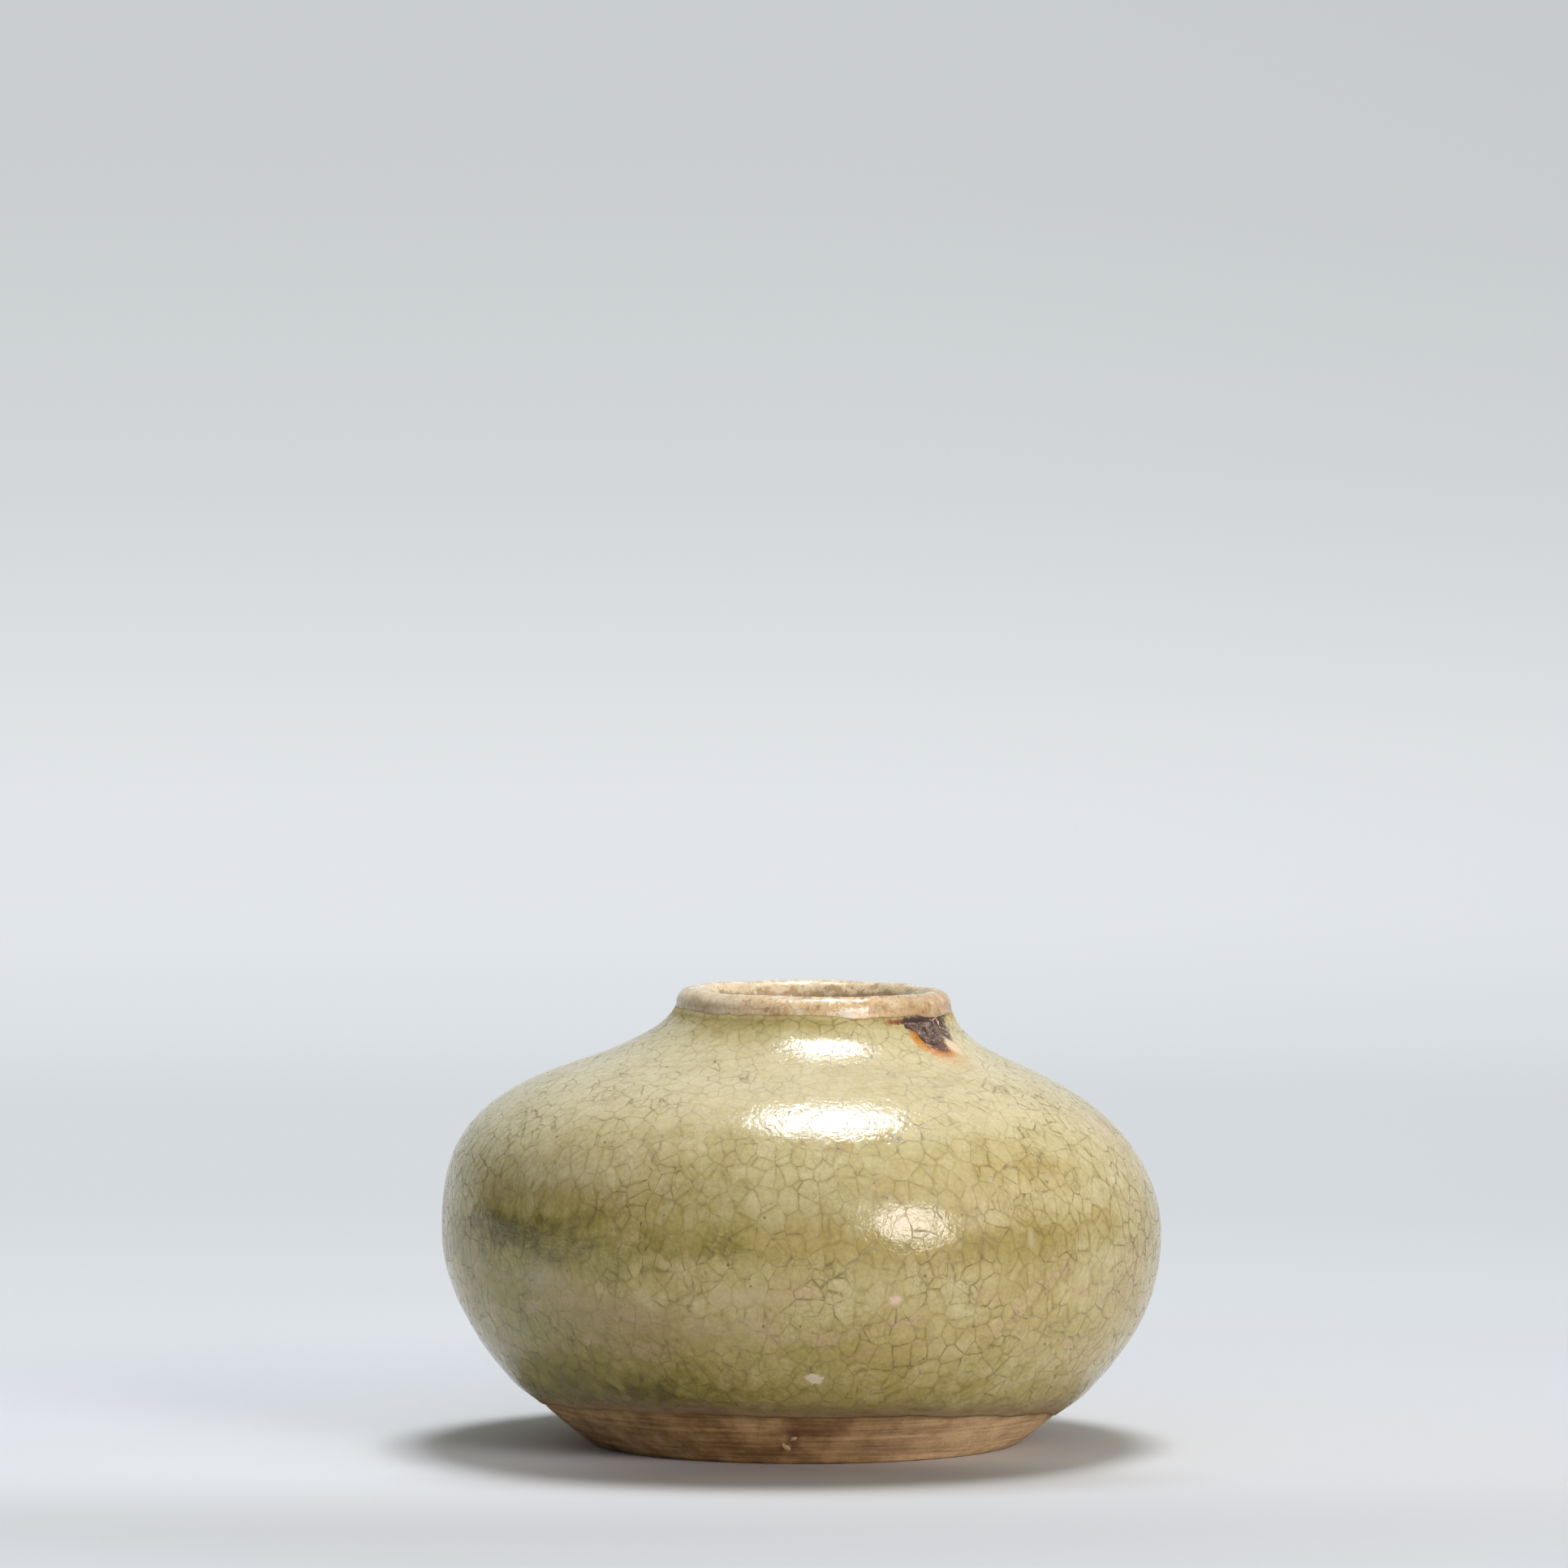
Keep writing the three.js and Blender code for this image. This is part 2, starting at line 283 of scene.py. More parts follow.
def lineAt(heights, angle):
    # a smooth closed line through the heights
    turn = ((angle + pi / 2) / (2 * pi) % 1) * len(heights)
    step = int(turn)
    a, b, c, d = (heights[(step + k) % len(heights)] for k in (-1, 0, 1, 2))
    t = turn - step
    return b + t * ((c - a) / 2 + t * (a - 2.5 * b + 2 * c - d / 2 + t * (1.5 * (b - c) + (d - a) / 2)))


def average(heights):
    return sum(heights) / len(heights)


def glazeLine(angle):
    return lineAt(coats["line"], angle) + 0.16 * wave(angle, 7, 6) + 0.1 * wave(angle, 9, 17)


def lipLine(angle):
    ragged = 0.14 * wave(angle, 5, 5) + 0.07 * wave(angle, 8, 14)
    dip = coats["lipDip"]
    away = (angle * 180 / pi + 90 - dip["angle"] + 180) % 360 - 180
    ragged -= dip["depth"] * (1 - smooth(abs(away), 0, dip["width"]))
    return max(lineAt(coats["lipLine"], angle) + ragged, jar["neckHeight"] + 0.05)


clay = {
    "rowSpacing": 1.6,
    "heelRowSpacing": 0.25,
    # the share of the first run that the closer rows of the bare heel take
    "heelShare": 0.3,
    "ringDepth": 0.22,
    "ringPitch": 16.3,
    "firstRing": 9.2,
    "lowestRing": 5.9,
    "turningDepth": 0.035,
    "chipDepth": 0.12,
    # the turning lines and chips fade out between these heights, under the glaze
    "bareHeights": (5, 7),
    "footWander": 0.12,
}


def ringGroove(place):
    # the throwing rings, which the glaze fills
    if place >= neckHollow:
        return 0
    height = heightAt(place)
    hollow = 0.5 + 0.5 * cos(2 * pi * (height - clay["firstRing"]) / clay["ringPitch"])
    ends = smooth(height, jar["footBevelHeight"], clay["lowestRing"])
    ends *= 1 - smooth(height, jar["shoulderOffsetHeight"], jar["shoulderHeight"])
    return clay["ringDepth"] * hollow * ends


def makeClay():
    foot, ringInside = jar["footRadius"], jar["footRadius"] - jar["footRingWidth"]
    # the base as radius and height, from its middle out to the foot ring and its bevel
    base = [(ringInside * out, jar["footRecess"] * up) for out, up in
            [(0, 1), (0.3, 1), (0.55, 1), (0.75, 0.94), (0.85, 0.8), (0.93, 0.5)]]
    base += [(ringInside * 0.98, 0.22), (ringInside * 1.01, 0.03), (ringInside * 1.04, 0),
             (foot - 2.2, 0), (foot - 0.2, 0), (foot + 0.1, 0.03), (foot + 0.5, 0.2)]
    heelEnd = lowerWall + clay["heelShare"]
    rows = [(None, point) for point in base]
    rows += [(place, 0) for place in rowsBetween(lowerWall, heelEnd, clay["heelRowSpacing"])]
    rows += [(place, 0) for place in rowsBetween(heelEnd, len(skin), clay["rowSpacing"])[1:]]

    def settle(row, angle):
        place, lift = rows[row]
        if place is None:
            radius, height = lift
            # the inside of the foot ring was cut by hand
            uneven = clay["footWander"] * wave(angle, 3, 1.5)
            uneven *= smooth(radius, 3, ringInside * 0.8) * (height > 0.01)
            return settled(radius + uneven, height, angle, 0)
        height = heightAt(place)
        # turning lines left by the tool on the bare heel
        bare = 1 - smooth(height, *clay["bareHeights"])
        lines = clay["turningDepth"] * bare * (
            roughAt(angle, 0.8, height * 2.1) + 0.6 * roughAt(angle, 1.5, height * 5.3))
        chips = clay["chipDepth"] * bare * min(0, roughAt(angle, 9, height * 0.9) + 0.35)
        return overSkin(place, lines + chips - ringGroove(place), angle)

    def belowGlaze(row, angle):
        place, lift = rows[row]
        if place is None:
            return glazeLine(angle) - lift[1]
        # higher up and inside, a depth far above the line
        return glazeLine(angle) - heightAt(place) if place < upperWall else -40

    return spunSkin("clayBody", rows, settle, {"belowGlaze": belowGlaze}, closed=False)


def inPlace(place, angle):
    return place


def makeCoat(name, start, end, spacing, thicknessAt, shiftAt=inPlace, **measuresAt):
    outside = rowsBetween(start, end, spacing)
    inside = rowsBetween(start, end, spacing * 3)
    rows = [(place, coats["gap"] + coats["edgeThickness"]) for place in outside]
    rows += [(place, coats["gap"]) for place in reversed(inside)]

    def settle(row, angle):
        place = shiftAt(rows[row][0], angle)
        if row < len(outside):
            return overSkin(place, coats["gap"] + thicknessAt(place, angle), angle)
        return overSkin(place, coats["gap"] - ringGroove(place) * coats["intoRings"], angle)

    def measured(measureAt):
        return lambda row, angle: measureAt(shiftAt(rows[row][0], angle), angle)

    measures = {key: measured(measureAt) for key, measureAt in measuresAt.items()}
    return spunSkin(name, rows, settle, measures)


def makeOutsideGlaze():
    low = placeAtHeight(lowerWall, average(coats["line"]))
    high = placeAtHeight(lipUnder, average(coats["lipLine"]))
    lowEnd, highEnd = low + coats["footReach"], high - coats["lipReach"]
    edges = {}

    def edgesAt(angle):
        # the places of the coat's two edges, found once for each column of points
        key = round(angle, 4)
        if key not in edges:
            bottom = placeAtHeight(lowerWall, glazeLine(angle))
            edges[key] = bottom, placeAtHeight(lipUnder, lipLine(angle))
        return edges[key]

    def shift(place, angle):
        # the rows near each edge follow its wandering line
        bottom, top = edgesAt(angle)
        if place < lowEnd:
            return mix(bottom, lowEnd, (place - low) / coats["footReach"])
        if place > highEnd:
            return mix(highEnd, top, (place - high + coats["lipReach"]) / coats["lipReach"])
        return place

    def thickness(place, angle):
        height = heightAt(place)
        bottom, top = (heightAt(edge) for edge in edgesAt(angle))
        fromFoot = smooth(height, bottom - 0.2, bottom + coats["edgeWidth"])
        fromLip = 1 - smooth(height, top - 1.7, top + 0.2)
        around = Vector((cos(angle), sin(angle), 0)) * (2 + height * 0.02) + Vector((0, 0, height * 0.16))
        lumps = noise.noise(around * 1.3) + 0.5 * noise.noise(around * 3.1)
        full = coats["thickness"] + coats["uneven"] * lumps * (1 - smooth(height, 44, 47))
        return mix(coats["footEdgeThickness"], mix(coats["edgeThickness"], full, fromLip), fromFoot)

    return makeCoat("outsideGlaze", low, high, coats["rowSpacing"], thickness, shift,
                    aboveFoot=lambda place, angle: heightAt(place) - heightAt(edgesAt(angle)[0]),
                    belowLip=lambda place, angle: heightAt(edgesAt(angle)[1]) - heightAt(place))


def makeLipGlaze():
    start = placeAtHeight(lipUnder, average(coats["lipLine"]))
    end = placeAtHeight(throatRun, coats["throatLine"])

    def shift(place, angle):
        if place >= lipOuter:
            return place
        edge = placeAtHeight(lipUnder, min(lipLine(angle) + 0.02, 48.8))
        return mix(edge, lipOuter, (place - start) / (lipOuter - start))

    def thickness(place, angle):
        # worn and pitted, and a little uneven round the top
        inThroat = smooth(place, throatRun - 0.4, throatRun)
        pits = 0.06 * roughAt(angle, 9, place * 2.2)
        dents = 0.11 * wave(angle, 12, 2.5) + 0.09 * roughAt(angle, 4, place * 1.3)
        return coats["lipFilm"] + (pits + dents * smooth(place, lipUnder, lipOuter + 0.5)) * (1 - inThroat)

    # overLip goes from 0 at the neck through 2 at the top of the lip to 3 at the mouth
    return makeCoat("lipGlaze", start, end, coats["lipRowSpacing"], thickness, shift,
                    overLip=lambda place, angle: place - lipUnder)


def makeInsideGlaze():
    start = placeAtHeight(throatRun, coats["throatLine"])

    def thickness(place, angle):
        return mix(coats["lipFilm"], coats["insideThickness"], smooth(place, start, start + 0.5))

    return makeCoat("insideGlaze", start, len(skin), coats["insideRowSpacing"], thickness)


clayBody = makeClay()
outsideGlaze = makeOutsideGlaze()
lipGlaze = makeLipGlaze()
insideGlaze = makeInsideGlaze()
print("jar and glazes made")


slagBead = {
    "angle": radians(50 - 90),
    "height": 45.95,
    "sink": 0.03,
    "proud": 0.34,
    "depth": 0.45,
    "lumps": 0.12,
    # its outline seen square on, as (degrees, millimetres from the middle)
    "outline": [(0, 2.4), (14, 2.45), (35, 2.2), (54, 2.05), (85, 1.85), (120, 2.1), (138, 2.8),
                (150, 3.35), (159, 3.15), (168, 2.1), (180, 1.45), (222, 1.65), (251, 2.25), (278, 2.4),
                (300, 2.6), (322, 2.75), (341, 2.45)],
}

# the crumbs of grit, with tilts in degrees
grit = [
    {"name": "kilnGrit1", "angle": radians(-4.4 - 90), "height": 2.3,
     "length": 1.3, "width": 0.5, "tilt": -48},
    {"name": "kilnGrit2", "angle": radians(-2.8 - 90), "height": 3.35,
     "length": 0.8, "width": 0.42, "tilt": 25},
]


def outlineRadius(outline, degrees):
    before, after = outline[-1], outline[0]
    points = [(before[0] - 360, before[1])] + outline + [(after[0] + 360, after[1])]
    degrees %= 360
    for (a, ra), (b, rb) in zip(points, points[1:]):
        if a <= degrees <= b:
            return mix(ra, rb, smooth(degrees, a, b))


def onSkin(place, angle, x, y, lift):
    # a point x millimetres round the jar and y up the skin from a place, lifted off the clay
    up = place + y / runLength(int(place))
    return overSkin(up, lift, angle + x / skinAt(up)[0].x)


def makeSlagBead():
    bm = bmesh.new()
    bmesh.ops.create_uvsphere(bm, u_segments=96, v_segments=48, radius=1)
    place = placeAtHeight(neckHollow, slagBead["height"])
    seat = coats["gap"] + coats["thickness"] - slagBead["sink"]
    for vert in bm.verts:
        x, y, z = vert.co
        turn = atan2(y, x)
        far = outlineRadius(slagBead["outline"], turn * 180 / pi) * min(1, (x * x + y * y) ** 0.5)
        bx, by = far * cos(turn), far * sin(turn)
        if z > 0:
            lumps = noise.noise(Vector((bx * 0.9, by * 0.9, 4)))
            lumps += 0.5 * noise.noise(Vector((bx * 2.4, by * 2.4, 8)))
            lift = seat + (slagBead["proud"] + slagBead["lumps"] * lumps) * z ** 0.7
        else:
            lift = seat + slagBead["depth"] * z
        vert.co = onSkin(place, slagBead["angle"], bx, by, lift)
    return finishPiece("ironSlagBead", bm)


def makeGrit(crumb, seed):
    bm = bmesh.new()
    bmesh.ops.create_icosphere(bm, subdivisions=4, radius=1)
    place = placeAtHeight(lowerWall, crumb["height"])
    tilt = radians(crumb["tilt"])
    for vert in bm.verts:
        rough = 1 + 0.28 * noise.noise(vert.co * 1.6 + Vector((seed * 7, 0, 0)))
        rough += 0.12 * noise.noise(vert.co * 4 + Vector((0, seed * 5, 0)))
        x = vert.co.x * crumb["length"] / 2 * rough
        y = vert.co.y * crumb["width"] / 2 * rough
        across, up = x * cos(tilt) - y * sin(tilt), x * sin(tilt) + y * cos(tilt)
        lift = vert.co.z * crumb["width"] / 2 * rough + crumb["width"] * 0.35
        vert.co = onSkin(place, crumb["angle"], across, up, lift)
    return finishPiece(crumb["name"], bm)


ironSlagBead = makeSlagBead()
kilnGrit = [makeGrit(crumb, seed) for seed, crumb in enumerate(grit)]
print("slag bead and grit made")


class Output:
    # an output of a shader node; sums and products with it are written as with numbers
    def __init__(self, node, key=0):
        self.node, self.tree, self.socket = node, node.id_data, node.outputs[key]

    def __getitem__(self, key):
        return Output(self.node, key)

    def __add__(self, other):
        return maths("ADD", self, other)

    def __radd__(self, other):
        return maths("ADD", other, self)

    def __sub__(self, other):
        return maths("SUBTRACT", self, other)

    def __rsub__(self, other):
        return maths("SUBTRACT", other, self)

    def __mul__(self, other):
        return maths("MULTIPLY", self, other)

    def __truediv__(self, other):
        return maths("DIVIDE", self, other)

    def __rtruediv__(self, other):
        return maths("DIVIDE", other, self)


def wire(node, inputs):
    # an input may be a value, a colour without its alpha, or another node's output
    for key, value in inputs.items():
        socket = node.inputs[key]
        if isinstance(value, Output):
            value.tree.links.new(value.socket, socket)
        else:
            socket.default_value = (*value, 1) if socket.type == "RGBA" else value


def put(tree, kind, settings=None, inputs=None):
    node = tree.nodes.new("ShaderNode" + kind)
    for key, value in (settings or {}).items():
        setattr(node, key, value)
    wire(node, inputs or {})
    return Output(node)


def maths(operation, a, b, clamp=False):
    tree = (a if isinstance(a, Output) else b).tree
    return put(tree, "Math", {"operation": operation, "use_clamp": clamp}, {0: a, 1: b})


def vectorMaths(operation, a, b):
    return put(a.tree, "VectorMath", {"operation": operation}, {0: a, 1: b})


def stretched(point, *factors):
    return vectorMaths("MULTIPLY", point, factors)


def sized(vector, factor):
    return put(vector.tree, "VectorMath", {"operation": "SCALE"}, {0: vector, "Scale": factor})


def lengthOf(vector):
    return put(vector.tree, "VectorMath", {"operation": "LENGTH"}, {0: vector})["Value"]


def parted(vector):
    return put(vector.tree, "SeparateXYZ", None, {0: vector})


def rise(value, low, high, start=0.0, end=1.0):
    # 0 below low, 1 above high, smooth between
    return put(value.tree, "MapRange", {"interpolation_type": "SMOOTHSTEP"},
               {"Value": value, "From Min": low, "From Max": high, "To Min": start, "To Max": end})


def fall(value, low, high):
    return rise(value, low, high, 1.0, 0.0)


def mixed(factor, a, b, blend="MIX"):
    tree = (factor if isinstance(factor, Output) else a).tree
    return put(tree, "Mix", {"data_type": "RGBA", "blend_type": blend}, {0: factor, 6: a, 7: b})[2]


def ramp(factor, stops, interpolation="LINEAR"):
    # a stop is a position and a colour, or a grey
    made = put(factor.tree, "ValToRGB", None, {"Fac": factor})
    made.node.color_ramp.interpolation = interpolation
    elements = made.node.color_ramp.elements
    for number, (position, colour) in enumerate(stops):
        element = elements[number] if number < 2 else elements.new(position)
        element.position = position
        element.color = (*colour, 1) if isinstance(colour, tuple) else (colour, colour, colour, 1)
    return made


def speckle(point, size, detail=2.0, roughness=0.5):
    # noise with features of a size in millimetres
    return put(point.tree, "TexNoise", None,
               {"Vector": point, "Scale": 1 / size, "Detail": detail, "Roughness": roughness})["Fac"]


def shards(point, scale, feature="F1"):
    return put(point.tree, "TexVoronoi", {"feature": feature}, {"Vector": point, "Scale": scale})


def keptMeasure(tree, name):
    return put(tree, "Attribute", {"attribute_name": name})["Fac"]


def newGroup(name, inputs, outputs):
    tree = bpy.data.node_groups.new(name, "ShaderNodeTree")
    for socketName, kind, value in inputs:
        socket = tree.interface.new_socket(name=socketName, in_out="INPUT", socket_type="NodeSocket" + kind)
        if value is not None:
            socket.default_value = value
    for socketName, kind in outputs:
        tree.interface.new_socket(name=socketName, in_out="OUTPUT", socket_type="NodeSocket" + kind)
    return tree, Output(tree.nodes.new("NodeGroupInput")), tree.nodes.new("NodeGroupOutput")


def use(tree, group, inputs):
    return put(tree, "Group", {"node_tree": group}, inputs)


def makeMillimetres():
    # object coordinates in millimetres, and bent a little so that nothing runs quite straight
    tree, given, result = newGroup("millimetres", [("Bend", "Float", 0.3), ("Bend Size", "Float", 3.0)],
                                   [("Point", "Vector"), ("Bent", "Vector"), ("Height", "Float")])
    point = stretched(put(tree, "TexCoord")["Object"], 1 / mm, 1 / mm, 1 / mm)
    push = put(tree, "TexNoise", None, {
        "Vector": sized(point, 1.0 / given["Bend Size"]), "Scale": 1.0, "Detail": 2.0})["Color"]
    push = sized(vectorMaths("SUBTRACT", push, (0.5, 0.5, 0.5)), given["Bend"])
    wire(result, {"Point": point, "Bent": vectorMaths("ADD", point, push), "Height": parted(point)["Z"]})
    return tree


def makeCrackle():
    # cracks that come and go, patches of finer ones between them, and a slight tint to each shard
    tree, given, result = newGroup(
        "crackle",
        [("Point", "Vector", None), ("Shard", "Float", 2.4), ("Crack", "Float", 0.1)],
        [("Cracks", "Float"), ("Tint", "Float"), ("Stain", "Float"), ("Pinholes", "Float")])
    point = given["Point"]

    def cracksAt(size, width, offset):
        cells = sized(vectorMaths("ADD", point, offset), 1.0 / size)
        away = shards(cells, 1.0, "DISTANCE_TO_EDGE")["Distance"] * size
        return fall(away, 0.0, width), cells, away

    patchy = speckle(point, 2.6, 3.0)
    width = given["Crack"] * (0.45 + patchy * 1.1)
    fine, cells, away = cracksAt(given["Shard"], width, (0, 0, 0))
    small = cracksAt(given["Shard"] * 0.55, width * 0.75, (7, 43, 29))[0]
    small = small * rise(speckle(point, 4), 0.42, 0.62)
    cracks = maths("MAXIMUM", fine * rise(patchy, 0.1, 0.45), small * 0.6)
    # they are not equally open all along
    wider = rise(speckle(point, 0.8, 3.0, 0.6), 0.36, 0.62)
    # the glaze is stained brown for a little way beside the cracks
    stain = fall(away, 0.0, 0.42) * rise(patchy, 0.35, 0.65)
    hole = shards(point, 0.75)
    kept = put(tree, "SeparateColor", None, {0: hole["Color"]})
    reach = rise(kept, 0.5, 1.0) * 0.17
    wire(result, {
        "Cracks": cracks * (0.3 + wider * 0.7),
        "Tint": put(tree, "SeparateColor", None, {0: shards(cells, 1.0)["Color"]}),
        "Stain": stain,
        "Pinholes": 1.0 - rise(hole["Distance"], reach * 0.4, reach + 0.001),
    })
    return tree


def makeSpot():
    # a soft-edged spot round a point, stretched by Shape, with an edge made ragged by Rough
    tree, given, result = newGroup(
        "spot",
        [("Point", "Vector", None), ("Rough", "Float", 0.5), ("Centre", "Vector", None),
         ("Shape", "Vector", (1, 1, 1)), ("Radius", "Float", 1.0), ("Soft", "Float", 0.3),
         ("Ragged", "Float", 0.3)],
        [("Mask", "Float")])
    away = vectorMaths("DIVIDE", vectorMaths("SUBTRACT", given["Point"], given["Centre"]), given["Shape"])
    edge = lengthOf(away) / given["Radius"] + (given["Rough"] - 0.5) * given["Ragged"] * 4.0
    wire(result, {"Mask": fall(edge, 1.0 - given["Soft"], 1.0 + given["Soft"])})
    return tree


millimetres, crackle, spot = makeMillimetres(), makeCrackle(), makeSpot()


def placesOn(tree, bend, bendSize):
    at = use(tree, millimetres, {"Bend": bend, "Bend Size": bendSize})
    return at["Point"], at["Bent"], at["Height"]


def spotAt(point, rough, centre, shape, soft, ragged, radius=1.0):
    return use(point.tree, spot, {"Point": point, "Rough": rough, "Centre": centre, "Shape": shape,
                                  "Radius": radius, "Soft": soft, "Ragged": ragged})


def newMaterial(name, roughness, specular):
    material = bpy.data.materials.new(name)
    material.use_nodes = True
    shader = material.node_tree.nodes["Principled BSDF"]
    wire(shader, {"Roughness": roughness, "Specular IOR Level": specular})
    return material, material.node_tree, shader


def bumped(height):
    # height is in millimetres
    return put(height.tree, "Bump", None, {"Height": height, "Distance": mm})


celadon = {
    "thin": (0.72, 0.63, 0.37),
    "pale": (0.63, 0.545, 0.285),
    "olive": (0.485, 0.39, 0.14),
    "green": (0.345, 0.285, 0.07),
    "deep": (0.19, 0.155, 0.035),
    "edge": (0.42, 0.285, 0.14),
    "edgeDark": (0.29, 0.18, 0.08),
    "crack": (0.1, 0.052, 0.013),
    "pinhole": (0.10, 0.06, 0.02),
    "buff": (0.53, 0.40, 0.205),
    "shard": 1.9,
    "crackWidth": 0.11,
    # how thick the glaze lies at each height in millimetres, from 0 to 1
    "depth": [(2, 0.5), (5.6, 0.6), (8.5, 0.57), (11, 0.51), (14, 0.49), (17, 0.45), (19.5, 0.41),
              (22, 0.45), (24.8, 0.52), (26.5, 0.49), (28.5, 0.4), (31, 0.34), (34, 0.31), (36.5, 0.27),
              (38.5, 0.19), (41, 0.12), (44.5, 0.1), (46.4, 0.26), (47.7, 0.48), (49, 0.48)],
    "depthHeight": 50,
    # runs of thicker glaze that hang in the throwing rings, a few thinner places, and one broad painted
    # shade:
    # centre, half widths, and what each adds
    "runs": [
        ((-33.5, -21.0, 25.9), (6.5, 6.5, 1.5), 0.22),
        ((-28, -27.8, 25.0), (9, 9, 2.4), 0.15),
        # painted shade: this broad one darkens the whole left side of the jar, away from the lamps
        ((-31, -24, 14), (17, 17, 17), 0.27),
        ((-11, -37.5, 24.9), (7, 7, 1.3), 0.1),
        ((33, -21, 25.2), (9, 9, 4.5), -0.09),
        ((-27, -21, 37), (13, 13, 6), -0.11),
        ((-16, -31, 8.3), (8, 8, 1.7), 0.2),
        ((24, -25, 9), (11, 11, 4), -0.12),
        ((10, 38, 25.2), (11, 11, 1.9), 0.34),
        ((-30, 20, 8.8), (10, 10, 1.8), 0.22),
    ],
}


def glazeDepth(point, bent, height, level, broad, crack, marked):
    # how thick the glaze lies, from 0 to 1
    top = celadon["depthHeight"]
    depth = ramp(level / top, [(h / top, value) for h, value in celadon["depth"]], "EASE")
    depth = depth + (speckle(stretched(point, 1, 1, 2.4), 12, 4.0, 0.6) - 0.5) * 0.62
    # it ran in narrow drips, most of all low down
    drips = speckle(stretched(point, 1, 1, 0.22), 1.7, 3.0)
    depth = depth + (drips - 0.5) * (0.25 + rise(height, 13.0, 9.0) * 0.25)
    if marked:
        # the runs and thinner places, and the broad painted shade on the left side
        for centre, shape, added in celadon["runs"]:
            depth = depth + spotAt(bent, broad, centre, shape, 0.8, 0.6) * added
    return depth + (crack["Tint"] - 0.5) * 0.08 + crack["Stain"] * 0.1


def makeCeladon(name, marks=()):
    material, tree, shader = newMaterial(name, 0.14, 0.6)
    point, bent, height = placesOn(tree, 0.6, 2.2)
    broad, fine = speckle(point, 1.8, 3.0), speckle(point, 0.5, 3.0)
    grain = rise(fine, 0.2, 0.8)
    # the cracks run a little more up and down than round
    crack = use(tree, crackle, {"Point": stretched(bent, 1, 1, 0.8), "Shard": celadon["shard"],
                                "Crack": celadon["crackWidth"]})
    wander = (speckle(point, 24) - 0.5) * 7.0
    ripple = (speckle(point, 4, 3.0) - 0.5) * 2.4
    level = height + (wander + ripple) * rise(height, 47.0, 43.0)
    depth = glazeDepth(point, bent, height, level, broad, crack, bool(marks))
    colour = ramp(depth, [(0.0, celadon["thin"]), (0.25, celadon["pale"]), (0.5, celadon["olive"]),
                          (0.75, celadon["green"]), (1.0, celadon["deep"])])
    # buff and brownish where the clay shows through a thin glaze
    buffPatch = rise(speckle(stretched(point, 1, 1, 2.4), 6, 4.0, 0.6), 0.5, 0.68)
    below = rise(level, 11.0, 15.0) * rise(level, 24.5, 20.5)
    colour = mixed(buffPatch * (below * 0.65 + 0.2), colour, celadon["buff"])
    colour = mixed(0.12, colour, ramp(grain, [(0, 0.1), (1, 0.95)]), "OVERLAY")
    seen = 0.44 + rise(speckle(point, 7), 0.38, 0.66) * 0.3
    colour = mixed(crack["Cracks"] * seen, colour, celadon["crack"])
    colour = mixed(crack["Pinholes"] * 0.7, colour, celadon["pinhole"])
    for centre, radius, shape, tint, soft, ragged, strength in marks:
        mask = spotAt(point, fine if radius < 2 else broad, centre, shape, soft, ragged, radius)
        colour = mixed(mask * strength, colour, tint)
    # cracks and pinholes break the shine
    broken = maths("MAXIMUM", crack["Cracks"], crack["Pinholes"])
    rough = 0.06 + broken * 0.45 + speckle(point, 1.6, 3.0) * 0.1
    if marks:
        # the glaze thins and browns at its edges, unevenly, and is dry at the foot and under the lip
        uneven = (speckle(point, 1.6, 4.0) - 0.5) * 3.2
        fromFoot = keptMeasure(tree, "aboveFoot") + uneven
        fromLip = keptMeasure(tree, "belowLip")
        lined = speckle(stretched(point, 0.12, 0.12, 1), 0.55, 3.0, 0.6)
        bare = mixed(rise(lined, 0.35, 0.65), celadon["edgeDark"], celadon["edge"])
        colour = mixed(rise(fromFoot, 2.3, 0.3) * 0.92, colour, bare)
        rough = rough + rise(fromFoot, 1.6, 0.1) * 0.6 + rise(fromLip, 1.5, 0.3) * 0.55
        colour = mixed(rise(fromLip + uneven * 0.1, 0.25, 0.0) * 0.5, colour, celadon["edge"])
        colour = addHalo(point, fine, colour)
    peel = speckle(point, 0.7, 3.0, 0.65) * 0.042 + speckle(point, 2.4) * 0.075 + grain * 0.012
    wire(shader, {"Base Color": colour, "Roughness": rough, "Normal": bumped(peel)})
    return material


